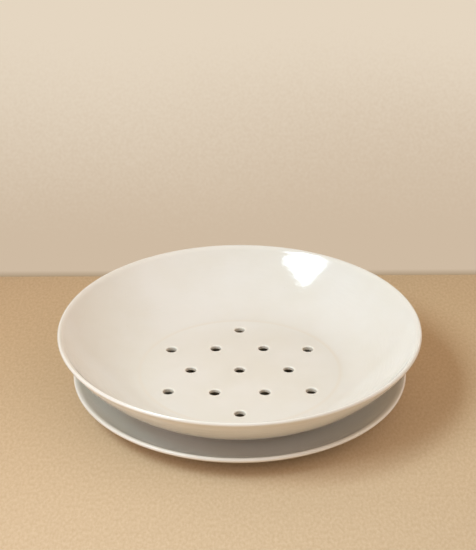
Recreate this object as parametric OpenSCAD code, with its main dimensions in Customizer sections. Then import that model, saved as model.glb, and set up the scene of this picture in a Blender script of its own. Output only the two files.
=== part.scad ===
// Berry colander bowl: a pierced stoneware bowl that stands loose in its own drip plate.
// Millimetres, +Z up, front towards -Y. The origin is on the table, on the common axis.
// Each piece is one turned wall: a flat floor, a curve up to a rolled lip, and a foot ring.

/* [Bowl] */
// Diameter over the rim
bowl_d = 270; // [230:1:320]
// Height from the floor inside to the top of the rim
bowl_depth = 39.4; // [30:0.2:60]
// Thickness of the wall at the rim
bowl_wall = 3.4; // [2.4:0.1:5]
// How far down the inside the wall starts to roll over to its lip
bowl_lip_roll = 2.8; // [0.6:0.1:5]
// Thickness of the floor in the middle
bowl_floor_t = 3; // [2.4:0.1:3.6]
// Thickness of the floor over the foot ring, where the wall starts
bowl_foot_t = 3.8; // [3.6:0.1:7]
// Height of the foot ring below the floor
bowl_foot_h = 4.7; // [2.5:0.1:8]
// Width of the foot ring
bowl_foot_w = 5.6; // [4:0.1:9]
// How far the flat floor inside reaches past the foot ring
bowl_foot_inset = 2.4; // [1.6:0.1:6]

/* [Drain holes] */
// Diameter of each drain hole
hole_d = 8; // [5:0.1:11]
// Radius of the softened edge round each hole
hole_edge_r = 0.8; // [0.3:0.1:1.5]
// Radius of the ring of six holes next to the middle hole
inner_ring_r = 37; // [26:0.5:44]
// Radius of the outer ring of six holes, half a step further round
outer_ring_r = 61; // [48:0.5:72]
// Plain floor between the outer holes and the foot ring
hole_to_foot = 3; // [2:0.1:6]

/* [Drip plate] */
// Diameter over the rim
plate_d = 250; // [215:1:300]
// Height from the well to the top of the rim
plate_depth = 12.4; // [9:0.2:20]
// Thickness of the wall at the rim
plate_wall = 3.4; // [2.4:0.1:5]
// How far down the inside the wall starts to roll over to its lip
plate_lip_roll = 2.8; // [0.6:0.1:5]
// Thickness of the floor
plate_floor_t = 3.6; // [2.6:0.1:6]
// Height of the foot ring below the floor
plate_foot_h = 3; // [2:0.1:6]
// Width of the foot ring
plate_foot_w = 5; // [3.5:0.1:8]
// How far the foot ring stands in from the edge of the well
plate_foot_inset = 7; // [3:0.5:14]
// Flat of the well left round the bowl's foot ring
seat_margin = 12; // [4:0.5:18]

/* [Section shapes] */
// Where the bowl's floor line meets its rim line, as a share of the way out to the rim
bowl_turn_share = 0.58; // [0.35:0.01:0.8]
// How closely the bowl's wall follows those two lines, from a soft curve to a tight one
bowl_fullness_share = 0.7; // [0.4:0.05:2]
// Where the plate's floor line meets its rim line, as a share of the way out to the rim
plate_turn_share = 0.6; // [0.35:0.01:0.8]
// How closely the plate's wall follows those two lines
plate_fullness_share = 1.2; // [0.4:0.05:2]

/* [Hidden] */
glaze_colour = "#E8E2D4";

// Steps along a wall, round each quarter of a lip and round each small curve
wall_steps = 26;
lip_steps = 7;
round_steps = 4;
turn_fn = 180;
hole_fn = 48;

// Radii of the foot ring's corners, as shares of the foot ring's own sizes
foot_fillet_share = 0.6;
foot_edge_share = 0.16;

holes_per_ring = 6;
ring_step = 360 / holes_per_ring;

// The bowl's foot ring clears the outer holes, and its floor reaches past the foot ring
bowl_foot_in_r = outer_ring_r + hole_d / 2 + hole_to_foot;
bowl_foot_out_r = bowl_foot_in_r + bowl_foot_w;
bowl_floor_r = bowl_foot_out_r + bowl_foot_inset;
bowl_floor_z = bowl_foot_h + bowl_foot_t;
thin_floor_r = inner_ring_r + hole_d / 2 + hole_to_foot;

// The plate's well is flat out to a margin past the bowl's foot ring, which stands on it
well_r = bowl_foot_out_r + seat_margin;
well_z = plate_foot_h + plate_floor_t;
plate_foot_out_r = well_r - plate_foot_inset;

// How far a cut runs past the face that it opens
overrun = bowl_wall;

function unit(v) = v / norm(v);
function left_of(v) = [-v.y, v.x];

// Points on an arc, from one angle to another
function arc(centre, r, from, to, steps) =
    [for (i = [0:steps])
        let (a = from + (to - from) * i / steps)
        centre + r * [cos(a), sin(a)]];

// The weighted curve that leaves a towards c and arrives at b from c, at share t of its way
function curve_point(a, c, b, w, t) =
    let (p = (1 - t) * (1 - t), q = 2 * w * t * (1 - t), s = t * t)
    (p * a + q * c + s * b) / (p + q + s);
function curve_heading(a, c, b, w, t) =
    unit(w * (1 - t) * (1 - t) * (c - a) + t * (1 - t) * (b - a) + w * t * t * (b - c));

// A quarter ellipse from the tip of the lip back to the wall's inside face
function lip_inside(lip, heading, half_t, roll) =
    [for (i = [1:lip_steps])
        let (b = 90 * i / lip_steps)
        lip + ((roll + half_t) * cos(b) - roll) * heading + half_t * sin(b) * left_of(heading)];

// How far that ellipse rises above the lip's centre
function lip_rise(heading, half_t, roll) =
    norm([(roll + half_t) * heading.y, half_t * heading.x]) - roll * heading.y;

// Half section of a turned dish, with its foot ring standing on z = 0
// The wall follows a line through the middle of the clay, and its thickness is laid off
// square to that line on both sides, changing evenly from the floor to the rim
// The lip is a quarter circle outside and a longer quarter ellipse inside
function dish_section(rim_r, rim_z, rim_t, lip_roll, floor_r, floor_z, edge_t, middle_t,
                      middle_r, foot_out_r, foot_w, turn_share, fullness) =
    let (
        under_z = floor_z - edge_t,
        foot_in_r = foot_out_r - foot_w,
        fillet_r = foot_fillet_share * min(under_z, floor_r - foot_out_r),
        edge_r = foot_edge_share * foot_w,
        half_t = rim_t / 2,
        lip_r = rim_r - half_t,
        start = [floor_r, floor_z - edge_t / 2],
        turn = [floor_r + turn_share * (lip_r - floor_r), start.y],
        rise = lip_rise(unit([lip_r, rim_z - half_t] - turn), half_t, lip_roll),
        lip = [lip_r, rim_z - rise],
        heading = curve_heading(start, turn, lip, fullness, 1),
        lip_angle = atan2(heading.y, heading.x),
        line = [for (i = [0:wall_steps])
            curve_point(start, turn, lip, fullness, i / wall_steps)],
        offset = [for (i = [0:wall_steps])
            let (t = i / wall_steps)
            left_of(curve_heading(start, turn, lip, fullness, t))
                * (edge_t + (rim_t - edge_t) * t) / 2]
    )
    concat(
        [[0, floor_z - middle_t], [middle_r, floor_z - middle_t]],
        arc([foot_in_r - fillet_r, under_z - fillet_r], fillet_r, 90, 0, round_steps),
        arc([foot_in_r + edge_r, edge_r], edge_r, 180, 270, round_steps),
        arc([foot_out_r - edge_r, edge_r], edge_r, 270, 360, round_steps),
        arc([foot_out_r + fillet_r, under_z - fillet_r], fillet_r, 180, 90, round_steps),
        [for (i = [0:wall_steps - 1]) line[i] - offset[i]],
        arc(lip, half_t, lip_angle - 90, lip_angle, lip_steps),
        lip_inside(lip, heading, half_t, lip_roll),
        [for (i = [wall_steps - 1:-1:0])
            if (norm(lip - line[i]) > lip_roll + half_t / 2) line[i] + offset[i]],
        [[0, floor_z]]
    );

// One drain hole as a cut, with the floor's face at z = 0 and the edge rounded over
module drain_hole() {
    hole_r = hole_d / 2;
    rotate_extrude($fn = hole_fn)
        polygon(concat(
            [[0, -bowl_foot_t - overrun], [hole_r, -bowl_foot_t - overrun]],
            arc([hole_r + hole_edge_r, -hole_edge_r], hole_edge_r, 180, 90, round_steps),
            [[hole_r + hole_edge_r, overrun], [0, overrun]]
        ));
}

// The middle hole, the ring of six round it, and the outer six half a step further round
module drain_pattern() {
    drain_hole();
    for (i = [0:holes_per_ring - 1]) {
        rotate(i * ring_step) translate([inner_ring_r, 0, 0]) drain_hole();
        rotate((i + 1 / 2) * ring_step) translate([outer_ring_r, 0, 0]) drain_hole();
    }
}

// The pierced bowl, standing on the well of the plate
module colander_bowl() {
    color(glaze_colour)
    translate([0, 0, well_z])
    difference() {
        rotate_extrude($fn = turn_fn)
            polygon(dish_section(
                bowl_d / 2, bowl_floor_z + bowl_depth, bowl_wall, bowl_lip_roll,
                bowl_floor_r, bowl_floor_z, bowl_foot_t, bowl_floor_t, thin_floor_r,
                bowl_foot_out_r, bowl_foot_w, bowl_turn_share, bowl_fullness_share));
        translate([0, 0, bowl_floor_z]) drain_pattern();
    }
}

// The shallow plate that catches the drips, standing on the table
module drip_plate() {
    color(glaze_colour)
    rotate_extrude($fn = turn_fn)
        polygon(dish_section(
            plate_d / 2, well_z + plate_depth, plate_wall, plate_lip_roll,
            well_r, well_z, plate_floor_t, plate_floor_t, plate_foot_out_r / 2,
            plate_foot_out_r, plate_foot_w, plate_turn_share, plate_fullness_share));
}

drip_plate();
colander_bowl();
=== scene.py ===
# %% [markdown]
# # A berry colander bowl on its drip plate
# Two pieces of glazed stoneware: a wide bowl with thirteen drain holes in its floor, and a
# shallow plate that it stands on. The CAD model is loaded first and gives the place and the
# size of everything. What is made here is the finished surface that the eye sees.

# %% Load the CAD frame
import math

import bpy
import numpy as np
from mathutils import Matrix, Vector


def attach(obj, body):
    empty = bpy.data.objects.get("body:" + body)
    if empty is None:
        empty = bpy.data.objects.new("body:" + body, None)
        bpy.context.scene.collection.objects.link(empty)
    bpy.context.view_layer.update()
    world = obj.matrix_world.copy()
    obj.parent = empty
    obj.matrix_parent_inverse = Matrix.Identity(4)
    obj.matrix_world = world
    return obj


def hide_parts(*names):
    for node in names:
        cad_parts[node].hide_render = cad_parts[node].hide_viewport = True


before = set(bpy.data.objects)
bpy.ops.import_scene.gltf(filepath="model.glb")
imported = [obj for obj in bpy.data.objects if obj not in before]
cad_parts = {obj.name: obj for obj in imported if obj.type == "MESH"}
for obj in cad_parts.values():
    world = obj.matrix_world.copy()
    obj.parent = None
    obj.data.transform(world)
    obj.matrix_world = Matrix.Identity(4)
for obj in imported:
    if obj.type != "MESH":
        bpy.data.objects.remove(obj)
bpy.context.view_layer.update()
MM = 0.001

# %% [markdown]
# ## The camera
# A short telephoto lens looks down on the bowl from about a metre away. Its lens, its place
# and its angles were worked out from the two rims and the thirteen hole centres, which are
# circles and a known pattern in the CAD model, so the object needs no fitting to the view.
# The Standard view shows each colour as it is written.

# %% Set up the camera
LENS_MM = 93.95
SENSOR_MM = 36.0
CAMERA_AT = Vector((0.0, -0.93231, 0.57671))
LOOK_DOWN = math.radians(27.297)
TURN_LEFT = math.radians(0.0595)
ROLL = math.radians(-0.2755)
CLIP_NEAR = 0.01
CLIP_FAR = 20.0

camera = bpy.data.objects.new("camera", bpy.data.cameras.new("camera"))
bpy.context.scene.collection.objects.link(camera)
camera.data.lens = LENS_MM
camera.data.sensor_width = SENSOR_MM
camera.data.dof.use_dof = False
camera.data.clip_start = CLIP_NEAR
camera.data.clip_end = CLIP_FAR
camera.matrix_world = (
    Matrix.Translation(CAMERA_AT)
    @ Matrix.Rotation(TURN_LEFT, 4, "Z")
    @ Matrix.Rotation(math.pi / 2 - LOOK_DOWN, 4, "X")
    @ Matrix.Rotation(ROLL, 4, "Z")
)
bpy.context.scene.camera = camera
bpy.context.scene.view_settings.view_transform = "Standard"
print("camera looks down by", round(math.degrees(LOOK_DOWN), 1), "degrees")

# %% [markdown]
# ## The tools
# A turned dish is a half section carried round an axis, and a pierced floor is a flat sheet
# with loops of points round each hole. Both are grids of points, so a few small helpers are
# enough: they carry a section round, list the faces of a grid, weld grids that share an edge
# into one closed surface, and give that to Blender as a mesh.

# %% Points on an arc and round the axis
SPOKES = 240


def arc(centre, radius, first, last, steps):
    """Points on an arc: centre + radius (cos a, sin a), with a going evenly from first to last."""
    a = np.radians(np.linspace(first, last, steps + 1))
    return np.asarray(centre) + radius * np.stack([np.cos(a), np.sin(a)], axis=1)


def carry_round(section):
    """Each point (r, z) of the section at each angle a becomes (r cos a, r sin a, z)."""
    a = np.linspace(0, 2 * np.pi, SPOKES, endpoint=False)
    r, z = section[:, :1], section[:, 1:]
    return np.stack([r * np.cos(a), r * np.sin(a), z + 0 * a], axis=2)


print("spokes", SPOKES)

# %% The faces of a grid, and grids welded together
WELD_MM = 1e-7


def grid_faces(rows, columns):
    """Four corners for each face between one row and the next; the last column joins the first."""
    row, column = np.meshgrid(np.arange(rows - 1), np.arange(columns), indexing="ij")
    here, there = row * columns, (row + 1) * columns
    after = (column + 1) % columns
    return np.stack([here + column, here + after, there + after, there + column], -1).reshape(-1, 4)


def weld(grids):
    """Join grids of points that share edges: points that round to the same place become one."""
    points, faces, start = [], [], 0
    for grid in grids:
        points.append(grid.reshape(-1, 3))
        faces.append(grid_faces(*grid.shape[:2]) + start)
        start += len(points[-1])
    points, faces = np.concatenate(points), np.concatenate(faces)
    _, first, where = np.unique(
        np.round(points / WELD_MM).astype(np.int64), axis=0, return_index=True, return_inverse=True)
    return points[first], where.reshape(-1)[faces]


print("points are one within", WELD_MM, "mm")

# %% A mesh out of points and faces


def make_mesh(name, points, faces):
    """Put points in millimetres and four-cornered faces into a smooth mesh in metres.

    A face at a pole has two equal corners after welding. It keeps one, and is a triangle.
    """
    keep = faces != np.roll(faces, -1, axis=1)
    sides = keep.sum(axis=1)
    corners = faces[keep]
    starts = np.concatenate([[0], np.cumsum(sides)[:-1]])
    mesh = bpy.data.meshes.new(name)
    mesh.vertices.add(len(points))
    mesh.vertices.foreach_set("co", (points * MM).ravel())
    mesh.loops.add(len(corners))
    mesh.loops.foreach_set("vertex_index", corners.astype(np.int32))
    mesh.polygons.add(len(faces))
    mesh.polygons.foreach_set("loop_start", starts.astype(np.int32))
    mesh.polygons.foreach_set("loop_total", sides.astype(np.int32))
    mesh.polygons.foreach_set("use_smooth", np.ones(len(faces), dtype=bool))
    mesh.update(calc_edges=True)
    mesh.validate()
    piece = bpy.data.objects.new(name, mesh)
    bpy.context.scene.collection.objects.link(piece)
    return piece


def report(piece):
    """Print a mesh's triangles, whether it is closed, and its volume.

    The volume is a sixth of the sum of a . (b x c) over the triangles abc. The mesh is closed
    when each edge has two faces, so that it has twice as many face corners as edges.
    """
    mesh = piece.data
    mesh.calc_loop_triangles()
    corners = np.empty(len(mesh.loop_triangles) * 3, dtype=np.int32)
    mesh.loop_triangles.foreach_get("vertices", corners)
    points = np.empty(len(mesh.vertices) * 3)
    mesh.vertices.foreach_get("co", points)
    a, b, c = points.reshape(-1, 3)[corners.reshape(-1, 3)].transpose(1, 0, 2)
    volume = np.einsum("ij,ij->i", a, np.cross(b, c)).sum() / 6
    closed = len(mesh.loops) == 2 * len(mesh.edges)
    print(piece.name, "triangles", len(a), "closed", closed, "mm3", round(volume / MM**3))


print("meshes before the first piece", len(bpy.data.meshes))

# %% [markdown]
# ## The turned wall
# Both dishes have the same kind of section: a flat floor, a wall that bends up in one sweep,
# and a lip that ends in a full round. The line through the middle of the clay is a weighted
# curve with three points, and half the thickness is laid off square to it on both sides. That
# is how a potter's rib and the wheel leave the clay, and it gives an even wall.

# %% The section of a wall
WALL_STEPS = 46
LIP_STEPS = 10
# The pieces are worked out in millimetres. The lip's inside starts to roll this far down the wall
LIP_ROLL = 2.8
# The steps of a wall come closer together towards the lip, as this power
CLOSER_NEAR_LIP = 1.6
# The lip stays this far inside the lip of the CAD model, so that nothing grows
LIP_SLACK = 0.03


def wall_section(rim_r, rim_z, rim_t, floor_r, floor_z, edge_t, turn_share, fullness):
    """Outside, lip and inside of a wall, from under the floor's edge up and over and back down.

    The middle line starts at A under the floor's edge, leaves towards C and ends at the lip's
    centre L. At share t its point is the mean of A, C and L with weights (1-t)^2, 2wt(1-t) and
    t^2, and its heading is w(1-t)^2 (C-A) + t(1-t) (L-A) + wt^2 (L-C). The lip is a quarter
    circle outside and a quarter ellipse inside, which starts a roll's length down the wall and
    rises above L by the root of (reach sin h)^2 + (half cos h)^2, less roll sin h.
    """
    half_rim = rim_t / 2
    reach = LIP_ROLL + half_rim
    lip = np.array([rim_r - LIP_SLACK - half_rim, rim_z - LIP_SLACK - half_rim])
    start = np.array([floor_r, floor_z - edge_t / 2])
    turn = np.array([floor_r + turn_share * (rim_r - half_rim - floor_r), start[1]])
    out, up = (lip - turn) / np.linalg.norm(lip - turn)
    lip[1] = rim_z - LIP_SLACK - (math.hypot(reach * up, half_rim * out) - LIP_ROLL * up)
    t = 1 - (1 - np.linspace(0, 1, WALL_STEPS + 1)[:, None])**CLOSER_NEAR_LIP
    p, q, s = (1 - t)**2, 2 * fullness * t * (1 - t), t**2
    line = (p * start + q * turn + s * lip) / (p + q + s)
    heading = fullness * p * (turn - start) + t * (1 - t) * (lip - start) + fullness * s * (lip - turn)
    heading /= np.linalg.norm(heading, axis=1, keepdims=True)
    square = np.stack([-heading[:, 1], heading[:, 0]], axis=1)
    half = (edge_t + (rim_t - edge_t) * t) / 2
    step = np.linalg.norm(np.diff(line, axis=0), axis=1)
    to_lip = np.append(np.cumsum(step[::-1])[::-1], 0)[:, None]
    rolled = np.sqrt(1 - (np.clip(LIP_ROLL - to_lip, 0, None) / reach)**2)
    lean = math.degrees(math.atan2(heading[-1, 1], heading[-1, 0]))
    b = np.linspace(0, math.acos(LIP_ROLL / reach), LIP_STEPS + 1)[1:, None]
    over = lip + heading[-1] * (reach * np.cos(b) - LIP_ROLL) + square[-1] * half_rim * np.sin(b)
    outside = (line - square * half)[:-1]
    inside = (line + square * half * rolled)[:-1][::-1]
    return outside, np.concatenate([arc(lip, half_rim, lean - 90, lean, LIP_STEPS), over]), inside


print("steps up a wall", WALL_STEPS)

# %% The section of a foot ring and of a level run
CORNER_STEPS = 6
FOOT_FILLET_SHARE = 0.6
FOOT_EDGE_SHARE = 0.16


def foot_section(foot_in_r, foot_out_r, stand_z, under_z, inset):
    """A foot ring from its inner fillet, round the ring it stands on, to its outer fillet.

    Each of the four corners is a quarter circle. A fillet's radius is a share of the foot's
    height or of the inset, whichever is less, and an edge's is a share of the foot's width.
    """
    fillet = FOOT_FILLET_SHARE * min(under_z - stand_z, inset)
    edge = FOOT_EDGE_SHARE * (foot_out_r - foot_in_r)
    return np.concatenate([
        arc((foot_in_r - fillet, under_z - fillet), fillet, 90, 0, CORNER_STEPS),
        arc((foot_in_r + edge, stand_z + edge), edge, 180, 270, CORNER_STEPS),
        arc((foot_out_r - edge, stand_z + edge), edge, 270, 360, CORNER_STEPS),
        arc((foot_out_r + fillet, under_z - fillet), fillet, 180, 90, CORNER_STEPS),
    ])


def flat_run(first_r, last_r, z, inner):
    """Points on a level line, close together at both ends.

    Each radius is first + (last - first) (1 - cos a) / 2, with a going evenly up to half a turn.
    """
    share = (1 - np.cos(np.linspace(0, np.pi, inner + 2)[1:-1])) / 2
    r = first_r + (last_r - first_r) * share
    return np.stack([r, np.full_like(r, z)], axis=1)


print("steps round a foot's corner", CORNER_STEPS)

# %% [markdown]
# ## The drip plate
# A shallow dish on a low foot ring. Its well is flat where the bowl's foot ring stands. It
# could be a lathe curve with a Screw modifier, but as one grid it keeps its poles closed and
# its rings close together wherever the section bends.

# %% Make the drip plate
PLATE_RIM_R = 125.0
PLATE_RIM_Z = 19.0
PLATE_WELL_R = 85.6
PLATE_WELL_Z = 6.6
PLATE_FLOOR_T = 3.6
PLATE_WALL_T = 3.4
PLATE_STAND_Z = 0.0
PLATE_FOOT_OUT_R = 78.6
PLATE_FOOT_W = 5.0
PLATE_TURN_SHARE = 0.6
PLATE_FULLNESS = 1.2
FLAT_POINTS = 14

plate_under_z = PLATE_WELL_Z - PLATE_FLOOR_T
plate_foot_in_r = PLATE_FOOT_OUT_R - PLATE_FOOT_W
outside, lip, inside = wall_section(
    PLATE_RIM_R, PLATE_RIM_Z, PLATE_WALL_T, PLATE_WELL_R, PLATE_WELL_Z,
    PLATE_FLOOR_T, PLATE_TURN_SHARE, PLATE_FULLNESS)
plate_foot = foot_section(
    plate_foot_in_r, PLATE_FOOT_OUT_R, PLATE_STAND_Z, plate_under_z, PLATE_WELL_R - PLATE_FOOT_OUT_R)
plate_section = np.concatenate([
    [[0, plate_under_z]],
    flat_run(0, plate_foot[0, 0], plate_under_z, FLAT_POINTS),
    plate_foot,
    outside, lip, inside,
    flat_run(PLATE_WELL_R, 0, PLATE_WELL_Z, FLAT_POINTS),
    [[0, PLATE_WELL_Z]],
])
plate_points, plate_faces = weld([carry_round(plate_section)])
plate = make_mesh("glazed_drip_plate", plate_points, plate_faces)
report(plate)

# %% [markdown]
# ## The pierced floor of the bowl
# The floor has one hole in the middle, six on a ring round it and six on an outer ring, half
# a step further round. A boolean cut would leave long thin faces and hard edges. Here the
# floor is laid out in blocks, one for each hole. The loops of a block start at its border on
# top, close in on the hole, roll over the softened edge, go down the bore and open out again
# underneath. Neighbours share their border points, so the blocks weld into one sheet.

# %% The border of a block
HOLES_PER_RING = 6
BLOCK_ANGLE = 360 / HOLES_PER_RING
ARC_STEPS = SPOKES // HOLES_PER_RING
SIDE_STEPS = 12


def block_border(inner_r, outer_r):
    """The border of a sector, anticlockwise: along its outer arc, in, back and out again."""
    half = BLOCK_ANGLE / 2
    outer = arc((0, 0), outer_r, -half, half, ARC_STEPS)[:-1]
    inner = arc((0, 0), inner_r, half, -half, ARC_STEPS)[:-1]
    r = np.linspace(outer_r, inner_r, SIDE_STEPS + 1)[:, None]
    side = np.radians(half)
    inward = (r * [np.cos(side), np.sin(side)])[:-1]
    outward = (r[::-1] * [np.cos(side), -np.sin(side)])[:-1]
    return np.concatenate([outer, inward, inner, outward])


print("points round a block", 2 * (ARC_STEPS + SIDE_STEPS))

# %% The bowl's foot ring and the underside of its floor
BOWL_FLOOR_R = 76.0
BOWL_FLOOR_Z = 15.1
BOWL_EDGE_T = 3.8
BOWL_MIDDLE_T = 3.0
BOWL_THIN_R = 44.0
BOWL_STAND_Z = 6.6
BOWL_FOOT_IN_R = 68.0
BOWL_FOOT_OUT_R = 73.6

bowl_under_z = BOWL_FLOOR_Z - BOWL_EDGE_T
bowl_foot = foot_section(
    BOWL_FOOT_IN_R, BOWL_FOOT_OUT_R, BOWL_STAND_Z, bowl_under_z, BOWL_FLOOR_R - BOWL_FOOT_OUT_R)
under_zone_r = bowl_foot[0, 0]


def under_z(r):
    """Height of the underside: level out to the inner holes, then straight down to the foot."""
    return np.interp(r, [BOWL_THIN_R, under_zone_r], [BOWL_FLOOR_Z - BOWL_MIDDLE_T, bowl_under_z])


print("the foot ring's fillet starts at radius", round(under_zone_r, 2), "mm")

# %% A block with its hole
HOLE_R = 4.0
HOLE_TOP_EDGE = 0.8
HOLE_LOW_EDGE = 0.5
BLOCK_STEPS = 8
BORE_STEPS = 4
# The loops of a block come closer together towards its hole, as this power
CLOSER_NEAR_HOLE = 1.5


def pierced_block(top_border, low_border, hole_at):
    """Loops from the border on top, through the hole, to the border underneath.

    A loop is hole edge + share (border - hole edge), with the share going from 1 down to 0.
    The softened edge is a quarter round: radius + e (1 - cos b), and e (1 - sin b) off the face.
    """
    count = len(top_border)
    even = 2 * np.pi * np.arange(count) / count
    seen = top_border - hole_at
    seen = np.unwrap(np.arctan2(seen[:, 1], seen[:, 0]))
    even += np.mean(seen - even)
    angle = (even + seen) / 2
    ray = np.stack([np.cos(angle), np.sin(angle)], axis=1)
    share = (np.linspace(1, 0, BLOCK_STEPS + 1)[:-1, None, None])**CLOSER_NEAR_HOLE
    b = np.radians(np.linspace(90, 0, CORNER_STEPS + 1))[:, None, None]

    def face_loops(border, edge):
        start = hole_at + (HOLE_R + edge) * ray
        return start + share * (border - start)

    def edge_loops(edge):
        return hole_at + (HOLE_R + edge * (1 - np.cos(b))) * ray

    def with_height(flat, height):
        return np.concatenate([flat, np.broadcast_to(height, flat.shape[:2])[..., None]], axis=2)

    def low(flat):
        return under_z(np.linalg.norm(flat, axis=2))

    top = with_height(face_loops(top_border, HOLE_TOP_EDGE), BOWL_FLOOR_Z)
    roll = edge_loops(HOLE_TOP_EDGE)
    top_roll = with_height(roll, BOWL_FLOOR_Z - HOLE_TOP_EDGE * (1 - np.sin(b[..., 0])))
    roll = edge_loops(HOLE_LOW_EDGE)[::-1]
    low_roll = with_height(roll, low(roll) + HOLE_LOW_EDGE * (1 - np.sin(b[::-1, :, 0])))
    down = np.linspace(0, 1, BORE_STEPS + 1)[1:-1, None, None]
    bore = top_roll[-1] + down * (low_roll[0] - top_roll[-1])
    flat = face_loops(low_border, HOLE_LOW_EDGE)[::-1]
    return np.concatenate([top, top_roll, bore, low_roll, with_height(flat, low(flat))])


print("loops across the top of a block", BLOCK_STEPS, "and down its bore", BORE_STEPS)

# %% Lay out the thirteen blocks
INNER_RING_R = 37.0
OUTER_RING_R = 61.0
CENTRE_ZONE_R = 18.5
INNER_ZONE_R = 49.0
OUTER_ZONE_R = 69.0
HALF_STEP = 0.5


def turned(grid, degrees):
    """A grid turned about the axis: (x cos a - y sin a, x sin a + y cos a, z)."""
    a = math.radians(degrees)
    x, y, z = grid[..., 0], grid[..., 1], grid[..., 2]
    return np.stack([x * np.cos(a) - y * np.sin(a), x * np.sin(a) + y * np.cos(a), z], axis=-1)


full_ring = arc((0, 0), CENTRE_ZONE_R, 0, 360, SPOKES)[:-1]
inner_border = block_border(CENTRE_ZONE_R, INNER_ZONE_R)
inner_block = pierced_block(inner_border, inner_border, np.array([INNER_RING_R, 0]))
outer_block = pierced_block(
    block_border(INNER_ZONE_R, OUTER_ZONE_R), block_border(INNER_ZONE_R, under_zone_r),
    np.array([OUTER_RING_R, 0]))
floor_grids = [pierced_block(full_ring, full_ring, np.zeros(2))]
floor_grids += [turned(inner_block, k * BLOCK_ANGLE) for k in range(HOLES_PER_RING)]
floor_grids += [turned(outer_block, (k + HALF_STEP) * BLOCK_ANGLE) for k in range(HOLES_PER_RING)]
print("holes laid out", len(floor_grids))

# %% [markdown]
# ## The bowl
# The rest of the bowl is one section carried round: from the border of the pierced floor
# underneath, round the foot ring, up the outside, over the lip and down the inside to the
# border of the floor on top. A pot moves a little as it dries and is fired, so the rim dips
# by a fraction of a millimetre in two places.

# %% Make the bowl
BOWL_RIM_R = 135.0
BOWL_RIM_Z = 54.5
BOWL_WALL_T = 3.4
BOWL_TURN_SHARE = 0.58
BOWL_FULLNESS = 0.7
RIM_DIP = 0.2
RIM_DIP_STARTS_R = 90.0
RIM_DIP_TURN = math.radians(35)

outside, lip, inside = wall_section(
    BOWL_RIM_R, BOWL_RIM_Z, BOWL_WALL_T, BOWL_FLOOR_R, BOWL_FLOOR_Z,
    BOWL_EDGE_T, BOWL_TURN_SHARE, BOWL_FULLNESS)
bowl_section = np.concatenate([
    bowl_foot,
    outside, lip, inside,
    flat_run(BOWL_FLOOR_R, OUTER_ZONE_R, BOWL_FLOOR_Z, FLAT_POINTS),
    [[OUTER_ZONE_R, BOWL_FLOOR_Z]],
])


def with_dips(points):
    """Lower each point by dip * share^2 * (1 + sin(2a + turn)) / 2, with the share of the way out."""
    r = np.hypot(points[:, 0], points[:, 1])
    a = np.arctan2(points[:, 1], points[:, 0])
    share = np.clip((r - RIM_DIP_STARTS_R) / (BOWL_RIM_R - RIM_DIP_STARTS_R), 0, 1)
    lower = RIM_DIP * share**2 * (1 + np.sin(2 * a + RIM_DIP_TURN)) / 2
    return points - np.stack([0 * lower, 0 * lower, lower], axis=1)


bowl_points, bowl_faces = weld([carry_round(bowl_section), *floor_grids])
bowl_points = with_dips(bowl_points)
bowl = make_mesh("glazed_colander_bowl", bowl_points, bowl_faces)
report(bowl)

# %% [markdown]
# ## Where the glaze is thin, deep or missing, and where light and shade are painted
# Glaze runs off a sharp edge, so it is a little thinner on the lip and on the rims of the
# holes, and there its colour is also lighter, a painted highlight where those edges catch the
# light. It gathers deep in the hollow where the floor meets the wall. The bores of the holes
# are a little darker, which is painted shade in the holes. The glaze is wiped off the ring
# that a piece stands on, or the pot would stick to the kiln shelf, and the base inside the
# foot ring is bare toasted clay. All this could be painted on by hand. Here each is a number
# from 0 to 1, worked out from the sizes and kept on the points of the mesh, so it lies exactly
# where the form says.

# %% Fade a mark, and keep it on a mesh
# A mark is counted where it is more than a tenth
MARK_SHOWS = 0.1


def fade(x, full, none):
    """1 at full, 0 at none and a smooth step between them: s^2 (3 - 2s)."""
    s = np.clip((np.asarray(x) - none) / (full - none), 0, 1)
    return s * s * (3 - 2 * s)


def mark(piece, name, values):
    """Keep one number for each point of a mesh, where a material can read it by name."""
    attribute = piece.data.attributes.new(name, "FLOAT", "POINT")
    attribute.data.foreach_set("value", values.astype(np.float32))
    print(piece.name, name, "on", int((values > MARK_SHOWS).sum()), "points")


def hole_centres():
    """The middle of each drain hole in plan: (R cos a, R sin a) at each sixth of a turn."""
    step = np.radians(BLOCK_ANGLE) * np.arange(HOLES_PER_RING)
    rings = [r * np.stack([np.cos(a), np.sin(a)], axis=1)
             for r, a in ((INNER_RING_R, step), (OUTER_RING_R, step + np.radians(BLOCK_ANGLE / 2)))]
    return np.concatenate([np.zeros((1, 2)), *rings])


print("hole centres", len(hole_centres()))

# %% Mark the lip, the holes, the hollows and the bare clay
LIP_BAND = 2.2
# The lip gets this share of the thin glaze's lighter colour, which is a painted highlight
LIP_THINNING_AND_HIGHLIGHT = 0.35
# The middle of the lip's round is this share of its thickness below the rim
LIP_MIDDLE_SHARE = 0.25
# Round each hole the thin glaze's lighter colour, a painted highlight on the rim, fades out over this
# band
HOLE_BAND = 0.9
# Down each bore a darker colour, painted shade in the hole, fades in over this band
BORE_SHADE_BAND = 0.9
HOLLOW_BAND = 2.5
HOLLOW_HEIGHT = 1.0
BARE_BAND = 0.35


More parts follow.
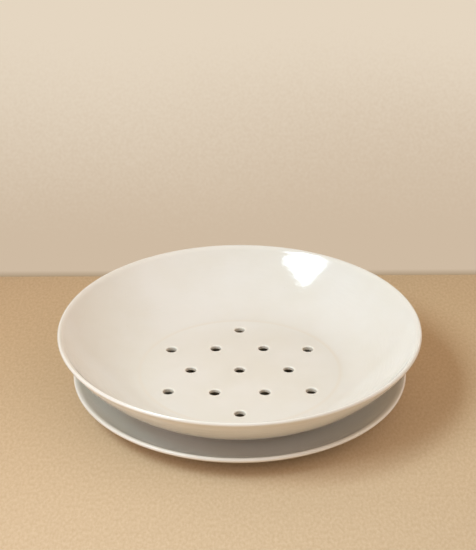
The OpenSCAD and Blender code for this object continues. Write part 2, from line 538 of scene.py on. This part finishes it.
def finish_marks(piece, points, rim, floor, stand_z, base_z, foot, holes):
    """Work out the marks from how far each point is from the lip, a hole, a hollow or the foot.

    Each mark is a fade of that distance over its own band, and the bare one is the greater of
    the ring stood on and the base inside it. rim is a radius, a height and a thickness, floor
    a radius and a height, foot two radii.
    """
    rim_r, rim_z, rim_t = rim
    floor_r, floor_z = floor
    r, z = np.hypot(points[:, 0], points[:, 1]), points[:, 2]
    from_lip = np.hypot(r - (rim_r - rim_t / 2), z - (rim_z - LIP_MIDDLE_SHARE * rim_t))
    # Thin glaze on the lip and round the holes, whose lighter colour is a painted highlight
    thin_and_highlight = LIP_THINNING_AND_HIGHLIGHT * fade(from_lip, rim_t / 2, rim_t / 2 + LIP_BAND)
    if len(holes):
        away = np.linalg.norm(points[:, None, :2] - holes, axis=2).min(axis=1)
        thin_and_highlight = np.maximum(thin_and_highlight, fade(away, HOLE_R + HOLE_TOP_EDGE, HOLE_R + HOLE_TOP_EDGE + HOLE_BAND))
        # A darker colour down the bores: painted shade in the holes
        bore_shade = fade(away, HOLE_R, HOLE_R + HOLE_LOW_EDGE) * (z < floor_z - HOLE_TOP_EDGE / 2)
        bore_shade = bore_shade * fade(floor_z - z, BORE_SHADE_BAND + HOLE_TOP_EDGE, HOLE_TOP_EDGE / 2)
        mark(piece, "painted_bore_shade", bore_shade)
    mark(piece, "thin_glaze_and_painted_highlight", thin_and_highlight)
    deep = fade(np.abs(r - floor_r), 0, HOLLOW_BAND) * (np.abs(z - floor_z) < HOLLOW_HEIGHT)
    mark(piece, "deep_glaze", deep)
    wiped = fade(z, stand_z + BARE_BAND / 2, stand_z + BARE_BAND) * (r < foot[1] + BARE_BAND)
    base = fade(z - base_z, BARE_BAND / 2, BARE_BAND) * (r < foot[0] + BARE_BAND)
    mark(piece, "bare_clay", np.maximum(wiped, base))


finish_marks(
    bowl, bowl_points, (BOWL_RIM_R, BOWL_RIM_Z, BOWL_WALL_T), (BOWL_FLOOR_R, BOWL_FLOOR_Z),
    BOWL_STAND_Z, under_z(np.hypot(bowl_points[:, 0], bowl_points[:, 1])),
    (BOWL_FOOT_IN_R, BOWL_FOOT_OUT_R), hole_centres())
finish_marks(
    plate, plate_points, (PLATE_RIM_R, PLATE_RIM_Z, PLATE_WALL_T), (PLATE_WELL_R, PLATE_WELL_Z),
    PLATE_STAND_Z, plate_under_z, (plate_foot_in_r, PLATE_FOOT_OUT_R), [])

# %% [markdown]
# ## The glaze
# Both pieces are white stoneware that was turned on a wheel and dipped in a clear, glossy,
# slightly warm glaze. To the eye that is a nearly white body with soft clouding, a few faint
# iron specks, and a sharp reflection whose edges waver, because the glaze is not quite level.
# A wheel also leaves rings that run round the wall and show only where light glances along it.
# A picture wrapped round each piece could show all this, but would need the meshes unwrapped
# and would blur close up. Nodes on Object coordinates need neither, keep every pattern at its
# real size, and move with the piece.

# %% A colour, a node and an empty material
# A Mix node has inputs of the same name for numbers and for colours, so they go by place
MIX_SHARE = 0
MIX_NUMBER_A = 2
MIX_NUMBER_B = 3
MIX_COLOUR_A = 6
MIX_COLOUR_B = 7
MIX_COLOUR_OUT = 2
GLAZE_COLOUR = "#E9E7DF"


def linear(hex_colour):
    """sRGB hex to linear: c / 12.92 up to 0.04045, and ((c + 0.055) / 1.055)^2.4 above it."""
    c = np.array([int(hex_colour[k:k + 2], 16) for k in (1, 3, 5)]) / 255
    rgb = np.where(c <= 0.04045, c / 12.92, ((c + 0.055) / 1.055)**2.4)
    return (*rgb.tolist(), 1.0)


def add(tree, kind, settings=None, inputs=None):
    """Add one node with its own settings, and feed its inputs with sockets or plain values."""
    node = tree.nodes.new(kind)
    for name, value in (settings or {}).items():
        setattr(node, name, value)
    for name, value in (inputs or {}).items():
        if isinstance(value, bpy.types.NodeSocket):
            tree.links.new(value, node.inputs[name])
        else:
            node.inputs[name].default_value = value
    return node


def blank_material(name):
    """A material with nothing in it but its name."""
    material = bpy.data.materials.new(name)
    material.use_nodes = True
    material.node_tree.nodes.clear()
    return material, material.node_tree


print("glaze white", [round(x, 3) for x in linear(GLAZE_COLOUR)])

# %% The patterns of the glaze, from their real sizes
# Each is a size in millimetres and a count of finer levels. The cloud is the glaze running
# thick and thin, the swell and the ripple make the edges of reflections waver, and the grain
# of the bare clay keeps its real size, because only a close view shows it.
PATTERNS = {
    "cloud": (45.0, 3.0),
    "gloss": (22.5, 2.0),
    "swell": (22.0, 1.0),
    "ripple": (3.0, 1.0),
    "clay_grain": (0.5, 2.0),
}
# Which part of a pattern's values is used, and what that part becomes: a share, or roughness
SPREADS = {
    "cloud": ((0.35, 0.65), (0.0, 1.0)),
    "gloss": ((0.3, 0.7), (0.07, 0.11)),
    "clay_grain": ((0.4, 0.7), (0.0, 1.0)),
}
MARKS = ("thin_glaze_and_painted_highlight", "deep_glaze", "painted_bore_shade", "bare_clay")


def glaze_patterns(tree, moved):
    """The noise of each pattern, the part of it that is used, and the marks kept on the mesh.

    A spread goes in a straight line from its least to its most as the noise crosses its part.
    """
    pattern = {
        what: add(tree, "ShaderNodeTexNoise", None, {
            "Vector": moved, "Scale": 1 / (size * MM), "Detail": detail}).outputs["Fac"]
        for what, (size, detail) in PATTERNS.items()}
    spread = {
        what: add(tree, "ShaderNodeMapRange", None, {
            "Value": pattern[what], "From Min": low, "From Max": high,
            "To Min": least, "To Max": most}).outputs["Result"]
        for what, ((low, high), (least, most)) in SPREADS.items()}
    marked = {
        what: add(tree, "ShaderNodeAttribute", {"attribute_name": what}).outputs["Fac"]
        for what in MARKS}
    return pattern, spread, marked


print("pattern sizes in mm", {what: size for what, (size, _) in PATTERNS.items()})

# %% The colour of the glaze and of the bare clay
GLAZE_CLOUD_COLOUR = "#E6E3D8"
# Thin glaze is lighter: a painted highlight where the lip and the rims of the holes catch the light
GLAZE_THIN_AND_HIGHLIGHT_COLOUR = "#EFECE1"
GLAZE_DEEP_COLOUR = "#E7E2D6"
# The bores are darker: painted shade in the holes
BORE_SHADE_COLOUR = "#D8D0C0"
SPECK_COLOUR = "#B9A487"
CLAY_COLOUR = "#C9B08B"
CLAY_DARK_COLOUR = "#B0946C"
# Iron specks lie about this far apart, and their radius is a share of that distance
SPECK_APART_MM = 11.0
SPECK_SHARE = 0.035
SPECK_STRENGTH = 0.5
SPECK_SCATTER = 1.0


def glaze_colour(tree, moved, spread, marked):
    """Layers of colour, each over the ones below: (1 - share) of those + share of the layer."""
    cells = add(tree, "ShaderNodeTexVoronoi", None, {
        "Vector": moved, "Scale": 1 / (SPECK_APART_MM * MM), "Randomness": SPECK_SCATTER})
    speck = add(tree, "ShaderNodeMapRange", None, {
        "Value": cells.outputs["Distance"], "From Max": SPECK_SHARE,
        "To Min": SPECK_STRENGTH, "To Max": 0.0}).outputs["Result"]
    clay = add(tree, "ShaderNodeMix", {"data_type": "RGBA"}, {
        MIX_SHARE: spread["clay_grain"], MIX_COLOUR_A: linear(CLAY_COLOUR),
        MIX_COLOUR_B: linear(CLAY_DARK_COLOUR)}).outputs[MIX_COLOUR_OUT]
    colour = linear(GLAZE_COLOUR)
    for share, layer in (
            (spread["cloud"], linear(GLAZE_CLOUD_COLOUR)),
            (speck, linear(SPECK_COLOUR)),
            # Painted highlight on the lip and on the rims of the holes
            (marked["thin_glaze_and_painted_highlight"], linear(GLAZE_THIN_AND_HIGHLIGHT_COLOUR)),
            (marked["deep_glaze"], linear(GLAZE_DEEP_COLOUR)),
            # Painted shade in the bores
            (marked["painted_bore_shade"], linear(BORE_SHADE_COLOUR)),
            (marked["bare_clay"], clay)):
        colour = add(tree, "ShaderNodeMix", {"data_type": "RGBA"}, {
            MIX_SHARE: share, MIX_COLOUR_A: colour, MIX_COLOUR_B: layer}).outputs[MIX_COLOUR_OUT]
    return colour


print("specks about", SPECK_APART_MM, "mm apart and", SPECK_APART_MM * SPECK_SHARE, "mm in radius")

# %% The relief of the surface
# Throwing rings: how far apart, how often each wavers in a turn, and where on the wall they start
RING_MM = 2.2
RING_WAVES = (10.0, 10.0, 10.0)
RING_DETAIL = 2.0
RING_FROM_MM = 80.0
RING_FULL_MM = 105.0
IN_PLAN = (1, 1, 0)
# How high each pattern stands
RING_HEIGHT_MM = 0.15
SWELL_HEIGHT_MM = 0.05
RIPPLE_HEIGHT_MM = 0.02
CLAY_HEIGHT_MM = 0.06


def glaze_relief(tree, place, pattern, bare):
    """Bumps on top of each other, each leaning the surface by the slope of its height.

    A ring is a noise of radius / ring size that changes slowly with the way from the axis:
    the noise at (waves x / r, waves y / r, r / ring size), with r the distance from the axis.
    """
    flat = add(tree, "ShaderNodeVectorMath", {"operation": "MULTIPLY"}, {0: place, 1: IN_PLAN}).outputs[0]
    radius = add(tree, "ShaderNodeVectorMath", {"operation": "LENGTH"}, {0: flat}).outputs["Value"]
    way = add(tree, "ShaderNodeVectorMath", {"operation": "NORMALIZE"}, {0: flat}).outputs[0]
    count = add(tree, "ShaderNodeMath", {"operation": "DIVIDE"}, {0: radius, 1: RING_MM * MM}).outputs[0]
    rise = add(tree, "ShaderNodeCombineXYZ", None, {"Z": count}).outputs[0]
    along = add(tree, "ShaderNodeVectorMath", {"operation": "MULTIPLY_ADD"}, {
        0: way, 1: RING_WAVES, 2: rise}).outputs[0]
    rings = add(tree, "ShaderNodeTexNoise", None, {
        "Vector": along, "Scale": 1.0, "Detail": RING_DETAIL}).outputs["Fac"]
    on_wall = add(tree, "ShaderNodeMapRange", None, {
        "Value": radius, "From Min": RING_FROM_MM * MM, "From Max": RING_FULL_MM * MM}).outputs["Result"]
    below = {}
    for height, height_mm, strength in (
            (rings, RING_HEIGHT_MM, on_wall),
            (pattern["swell"], SWELL_HEIGHT_MM, 1.0),
            (pattern["ripple"], RIPPLE_HEIGHT_MM, 1.0),
            (pattern["clay_grain"], CLAY_HEIGHT_MM, bare)):
        bump = add(tree, "ShaderNodeBump", None, {
            "Height": height, "Distance": height_mm * MM, "Strength": strength, **below})
        below = {"Normal": bump.outputs["Normal"]}
    return below["Normal"]


print("rings", RING_MM, "mm apart, from radius", RING_FROM_MM, "to full at", RING_FULL_MM)

# %% The glazed stoneware
CLAY_ROUGHNESS = 0.8
# A glaze is a glass, and bends light as glass does
GLAZE_IOR = 1.5


def glazed_stoneware(name, shift):
    """White stoneware under glossy glaze, with rough buff clay where the mesh says it is bare."""
    material, tree = blank_material(name)
    place = add(tree, "ShaderNodeTexCoord").outputs["Object"]
    moved = add(tree, "ShaderNodeMapping", None, {"Vector": place, "Location": shift}).outputs["Vector"]
    pattern, spread, marked = glaze_patterns(tree, moved)
    rough = add(tree, "ShaderNodeMix", {"data_type": "FLOAT"}, {
        MIX_SHARE: marked["bare_clay"], MIX_NUMBER_A: spread["gloss"],
        MIX_NUMBER_B: CLAY_ROUGHNESS}).outputs[0]
    surface = add(tree, "ShaderNodeBsdfPrincipled", None, {
        "Base Color": glaze_colour(tree, moved, spread, marked),
        "Roughness": rough,
        "IOR": GLAZE_IOR,
        "Normal": glaze_relief(tree, place, pattern, marked["bare_clay"])})
    add(tree, "ShaderNodeOutputMaterial", None, {"Surface": surface.outputs["BSDF"]})
    return material


# Each piece has its own part of the patterns
BOWL_SHIFT = (0.31, 0.17, 0.05)
PLATE_SHIFT = (1.73, 0.88, 0.42)
bowl.data.materials.append(glazed_stoneware("glossy_white_glaze_on_stoneware_bowl", BOWL_SHIFT))
plate.data.materials.append(glazed_stoneware("glossy_white_glaze_on_stoneware_plate", PLATE_SHIFT))
print("finishes", [piece.data.materials[0].name for piece in (bowl, plate)])

# %% [markdown]
# ## The table
# The bowl stands on a matt sand-coloured board that ends just behind it. A plain plane would
# do, but its back edge shows against the wall, so the board is a slab with a rounded edge. It
# is wide and long enough that no other side of it shows in the photograph's view. Its surface
# is pressed from short fibres, which the eye sees as a fine grain, with no reflection. Its
# colour is deeper at the back and paler at the front, which is a painted falloff of the light.

# %% The table top
# The table and the room are worked out in metres
TABLE_HALF_WIDTH = 1.3
TABLE_FRONT = -1.5
TABLE_BACK = 0.185
TABLE_THICK = 0.02
TABLE_EDGE = 0.0015


def table_top():
    """The section (y, z) of a slab with a rounded back edge, carried along x as a strip."""
    back = arc((TABLE_BACK - TABLE_EDGE, -TABLE_EDGE), TABLE_EDGE, 90, 0, CORNER_STEPS)
    section = np.concatenate([[[TABLE_FRONT, 0.0]], back, [[TABLE_BACK, -TABLE_THICK]]])
    x = np.array([-TABLE_HALF_WIDTH, TABLE_HALF_WIDTH])
    points = np.stack([
        np.broadcast_to(x, (len(section), 2)),
        np.broadcast_to(section[:, :1], (len(section), 2)),
        np.broadcast_to(section[:, 1:], (len(section), 2)),
    ], axis=2).reshape(-1, 3)
    row = np.arange(len(section) - 1)[:, None] * 2
    mesh = bpy.data.meshes.new("table_top")
    mesh.from_pydata(points.tolist(), [], (row + np.array([0, 1, 3, 2])).tolist())
    mesh.update()
    return bpy.data.objects.new("table_top", mesh)


table = table_top()
bpy.context.scene.collection.objects.link(table)
print("table ends", TABLE_BACK, "m behind the axis")

# %% The board of the table
# The back is deeper and the front paler: painted shade at the back, painted light at the front
TABLE_SHADED_BACK_COLOUR = "#D6BC96"
TABLE_LIT_FRONT_COLOUR = "#D3BF9F"
TABLE_FLECK_COLOUR = "#A98657"
TABLE_FRONT_FADE = -0.30
TABLE_BACK_FADE = 0.12
# Real fibres are a few tenths of a millimetre wide, too fine for the render, so they are drawn
# as grains of 2 mm, which show, and nearly twice as long from front to back
FIBRE_MM = 2.0
FIBRE_STRETCH = (1.0, 0.55, 1.0)
FIBRE_DETAIL = 2.0
FIBRE_CONTRAST = 0.6
FLECK_FROM = 0.3
FLECK_FULL = 0.7
FLECK_SHARE = 0.31
BOARD_ROUGHNESS = 0.85


def sand_coloured_board():
    """Matt kraft board with a fine grain.

    Its colour goes from deeper at the back to paler at the front by a smooth step of y, a
    painted falloff of the light, and a fleck covers it by its share.
    """
    material, tree = blank_material("sand_coloured_kraft_board")
    place = add(tree, "ShaderNodeTexCoord").outputs["Object"]
    depth = add(tree, "ShaderNodeSeparateXYZ", None, {"Vector": place}).outputs["Y"]
    front = add(tree, "ShaderNodeMapRange", {"interpolation_type": "SMOOTHSTEP"}, {
        "Value": depth, "From Min": TABLE_BACK_FADE, "From Max": TABLE_FRONT_FADE}).outputs["Result"]
    board = add(tree, "ShaderNodeMix", {"data_type": "RGBA"}, {
        MIX_SHARE: front, MIX_COLOUR_A: linear(TABLE_SHADED_BACK_COLOUR),
        MIX_COLOUR_B: linear(TABLE_LIT_FRONT_COLOUR)}).outputs[MIX_COLOUR_OUT]
    drawn = add(tree, "ShaderNodeVectorMath", {"operation": "MULTIPLY"}, {
        0: place, 1: FIBRE_STRETCH}).outputs[0]
    fibres = add(tree, "ShaderNodeTexNoise", None, {
        "Vector": drawn, "Scale": 1 / (FIBRE_MM * MM), "Detail": FIBRE_DETAIL,
        "Roughness": FIBRE_CONTRAST}).outputs["Fac"]
    fleck = add(tree, "ShaderNodeMapRange", None, {
        "Value": fibres, "From Min": FLECK_FROM, "From Max": FLECK_FULL,
        "To Max": FLECK_SHARE}).outputs["Result"]
    colour = add(tree, "ShaderNodeMix", {"data_type": "RGBA"}, {
        MIX_SHARE: fleck, MIX_COLOUR_A: board,
        MIX_COLOUR_B: linear(TABLE_FLECK_COLOUR)}).outputs[MIX_COLOUR_OUT]
    surface = add(tree, "ShaderNodeBsdfPrincipled", None, {
        "Base Color": colour, "Roughness": BOARD_ROUGHNESS})
    add(tree, "ShaderNodeOutputMaterial", None, {"Surface": surface.outputs["BSDF"]})
    return material


table.data.materials.append(sand_coloured_board())
print("fibres drawn in mm", FIBRE_MM)

# %% [markdown]
# ## The card and the window
# The light comes from a slanted window on the left, which the glaze shows as one sharp white
# patch, and from a dimmer strip below it. An area lamp's outline is a rectangle or an ellipse,
# so both are sheets that glow, which can have the window's slanted outline. A beige card
# behind the board gives light back to the bowl. The camera sees neither sheets nor card.

# %% The card behind the table
CARD_Y = 0.190
CARD_TOP = 1.5
CARD_COLOUR = "#DCC7AE"
CARD_CLOUD_COLOUR = "#D6C0A5"
# The paper's cloud is a ninth of a metre across
CARD_CLOUD_MM = 1000 / 9
CARD_ROUGHNESS = 0.9


def plain_paper():
    """Matt beige paper with the slow cloud that a hung roll of paper has."""
    material, tree = blank_material("beige_backdrop_paper")
    place = add(tree, "ShaderNodeTexCoord").outputs["Object"]
    cloud = add(tree, "ShaderNodeTexNoise", None, {
        "Vector": place, "Scale": 1 / (CARD_CLOUD_MM * MM)}).outputs["Fac"]
    colour = add(tree, "ShaderNodeMix", {"data_type": "RGBA"}, {
        MIX_SHARE: cloud, MIX_COLOUR_A: linear(CARD_COLOUR),
        MIX_COLOUR_B: linear(CARD_CLOUD_COLOUR)}).outputs[MIX_COLOUR_OUT]
    surface = add(tree, "ShaderNodeBsdfPrincipled", None, {
        "Base Color": colour, "Roughness": CARD_ROUGHNESS})
    add(tree, "ShaderNodeOutputMaterial", None, {"Surface": surface.outputs["BSDF"]})
    return material


def unseen_sheet(name, corners, material):
    """A flat four-cornered sheet of the stage that gives light and that the camera doesn't see."""
    mesh = bpy.data.meshes.new(name)
    mesh.from_pydata(corners, [], [(0, 1, 2, 3)])
    mesh.materials.append(material)
    sheet = bpy.data.objects.new(name, mesh)
    bpy.context.scene.collection.objects.link(sheet)
    sheet.visible_camera = False


unseen_sheet("backdrop_card", [
    (-TABLE_HALF_WIDTH, CARD_Y, -TABLE_THICK), (TABLE_HALF_WIDTH, CARD_Y, -TABLE_THICK),
    (TABLE_HALF_WIDTH, CARD_Y, CARD_TOP), (-TABLE_HALF_WIDTH, CARD_Y, CARD_TOP)], plain_paper())
print("card stands at", CARD_Y, "m and is", CARD_TOP, "m high")

# %% The window
WINDOW_X = -0.55
# The corners are (y, z) in metres
PANES = {
    "window_pane": {
        "corners": [(-0.165, 0.51), (-0.61, 0.70), (-0.77, 1.16), (-0.06, 1.14)],
        "colour": "#DEF3FF", "brightness": 14.16},
    "window_sill": {
        "corners": [(-0.18, 0.20), (-0.78, 0.20), (-0.78, 0.48), (-0.18, 0.53)],
        "colour": "#FFEAED", "brightness": 3.89},
}


def daylight(name, colour, brightness):
    """A sheet that glows evenly, as an overcast sky does through a window: soft, nearly white."""
    material, tree = blank_material(name)
    glow = add(tree, "ShaderNodeEmission", None, {"Color": linear(colour), "Strength": brightness})
    add(tree, "ShaderNodeOutputMaterial", None, {"Surface": glow.outputs["Emission"]})
    return material


for name, pane in PANES.items():
    unseen_sheet(
        name, [(WINDOW_X, y, z) for y, z in pane["corners"]],
        daylight(name, pane["colour"], pane["brightness"]))
    print(name, "brightness", pane["brightness"])

# %% [markdown]
# ## The room
# A pale room gives light from every side. Here the world does it, with a weak warm fill from
# above and a stronger, nearly white one from the right, because two soft lobes leave the
# shadow on the board. The wall past the board is also the world's: it is a colour that only
# camera, glossy and transmission rays see, with a faint cloud and grain, so it stays pale
# whatever the light is. It grows darker towards the board, which is painted shade, and just
# above the board's edge it has a band of painted shadow. A real wall would have to be lit,
# and would dim in its corners.

# %% The fill from the room
# A fill is strongest where a surface faces its axis: strength times the direction's part on it
FILLS = {"Z": ("#FFDBB1", 0.34), "X": ("#FFF1EF", 1.48)}

world = bpy.data.worlds.new("pale_room")
bpy.context.scene.world = world
world.use_nodes = True
room = world.node_tree
room.nodes.clear()
direction = add(room, "ShaderNodeTexCoord").outputs["Generated"]
toward = add(room, "ShaderNodeSeparateXYZ", None, {"Vector": direction}).outputs
parts = []
for axis, (fill_colour, strength) in FILLS.items():
    share = add(room, "ShaderNodeMath", {"operation": "MAXIMUM"}, {0: toward[axis], 1: 0.0}).outputs[0]
    share = add(room, "ShaderNodeMath", {"operation": "MULTIPLY"}, {0: share, 1: strength}).outputs[0]
    parts.append(add(room, "ShaderNodeVectorMath", {"operation": "SCALE"}, {
        0: linear(fill_colour)[:3], "Scale": share}).outputs[0])
glow = add(room, "ShaderNodeVectorMath", {"operation": "ADD"}, {0: parts[0], 1: parts[1]}).outputs[0]
fill = add(room, "ShaderNodeBackground", None, {"Color": glow, "Strength": 1.0})
print("fills", FILLS)

# %% The wall past the table
# The wall darkens from its top colour down to its low colour near the board, which is painted shade, and
# the shade colour is a band of painted shadow just above the board's edge
WALL_TOP_COLOUR = "#E5D6C1"
WALL_SHADED_LOW_COLOUR = "#CFBBA3"
WALL_SHADE_COLOUR = "#AD987D"
# A height on the wall is a slope, z over depth, and the depth is kept from falling to nothing
# at the sides, where the slope would have no limit
LEAST_DEPTH = 0.3
WALL_TOP_SLOPE = -0.312
WALL_LOW_SLOPE = -0.485
WALL_SHADE_SLOPE = -0.5115
WALL_FOOT_SLOPE = -0.5166
WALL_CLOUD = 0.05
WALL_CLOUD_STRETCH = (5.0, 5.0, 8.0)
WALL_CLOUD_DETAIL = 1.0
# Real paper has a grain of some tenths of a millimetre. It is drawn ten times coarser, at
# 1/500 of the distance, or about 2 mm at a metre, which shows
WALL_GRAIN = 0.04
WALL_GRAIN_SCALE = 500.0
WALL_GRAIN_DETAIL = 0.0

depth = add(room, "ShaderNodeMath", {"operation": "ABSOLUTE"}, {0: toward["Y"]}).outputs[0]
depth = add(room, "ShaderNodeMath", {"operation": "MAXIMUM"}, {0: depth, 1: LEAST_DEPTH}).outputs[0]
slope = add(room, "ShaderNodeMath", {"operation": "DIVIDE"}, {0: toward["Z"], 1: depth}).outputs[0]
stretched = add(room, "ShaderNodeVectorMath", {"operation": "MULTIPLY"}, {
    0: direction, 1: WALL_CLOUD_STRETCH}).outputs[0]
cloud = add(room, "ShaderNodeTexNoise", None, {
    "Vector": stretched, "Scale": 1.0, "Detail": WALL_CLOUD_DETAIL}).outputs["Fac"]
grain = add(room, "ShaderNodeTexNoise", None, {
    "Vector": direction, "Scale": WALL_GRAIN_SCALE, "Detail": WALL_GRAIN_DETAIL}).outputs["Fac"]
height = slope
for noise, amount in ((cloud, WALL_CLOUD), (grain, WALL_GRAIN)):
    height = add(room, "ShaderNodeMath", {"operation": "MULTIPLY_ADD"}, {
        0: noise, 1: amount, 2: height}).outputs[0]
noise_mean = (WALL_CLOUD + WALL_GRAIN) / 2
height = add(room, "ShaderNodeMapRange", {"interpolation_type": "SMOOTHSTEP"}, {
    "Value": height, "From Min": WALL_LOW_SLOPE + noise_mean,
    "From Max": WALL_TOP_SLOPE + noise_mean}).outputs["Result"]
# A band of painted shadow where the wall meets the board
shade = add(room, "ShaderNodeMapRange", None, {
    "Value": slope, "From Min": WALL_SHADE_SLOPE, "From Max": WALL_FOOT_SLOPE}).outputs["Result"]
wall_colour = linear(WALL_SHADED_LOW_COLOUR)
for share, layer in ((height, WALL_TOP_COLOUR), (shade, WALL_SHADE_COLOUR)):
    wall_colour = add(room, "ShaderNodeMix", {"data_type": "RGBA"}, {
        MIX_SHARE: share, MIX_COLOUR_A: wall_colour,
        MIX_COLOUR_B: linear(layer)}).outputs[MIX_COLOUR_OUT]
wall = add(room, "ShaderNodeBackground", None, {"Color": wall_colour, "Strength": 1.0})
print("wall goes from", WALL_SHADED_LOW_COLOUR, "to", WALL_TOP_COLOUR)

# %% Show the wall to the rays that see, and the fill to the rest
path = add(room, "ShaderNodeLightPath").outputs
shown = path["Is Camera Ray"]
for ray in ("Is Glossy Ray", "Is Transmission Ray"):
    shown = add(room, "ShaderNodeMath", {"operation": "MAXIMUM"}, {0: shown, 1: path[ray]}).outputs[0]
seen = add(room, "ShaderNodeMixShader", None, {
    0: shown, 1: fill.outputs["Background"], 2: wall.outputs["Background"]})
add(room, "ShaderNodeOutputWorld", None, {"Surface": seen.outputs["Shader"]})
print("nodes in the room", len(room.nodes))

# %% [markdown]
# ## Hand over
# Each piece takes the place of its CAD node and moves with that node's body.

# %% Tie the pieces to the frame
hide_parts("drip_plate")
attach(plate, "plate")
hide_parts("colander_bowl")
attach(bowl, "bowl")
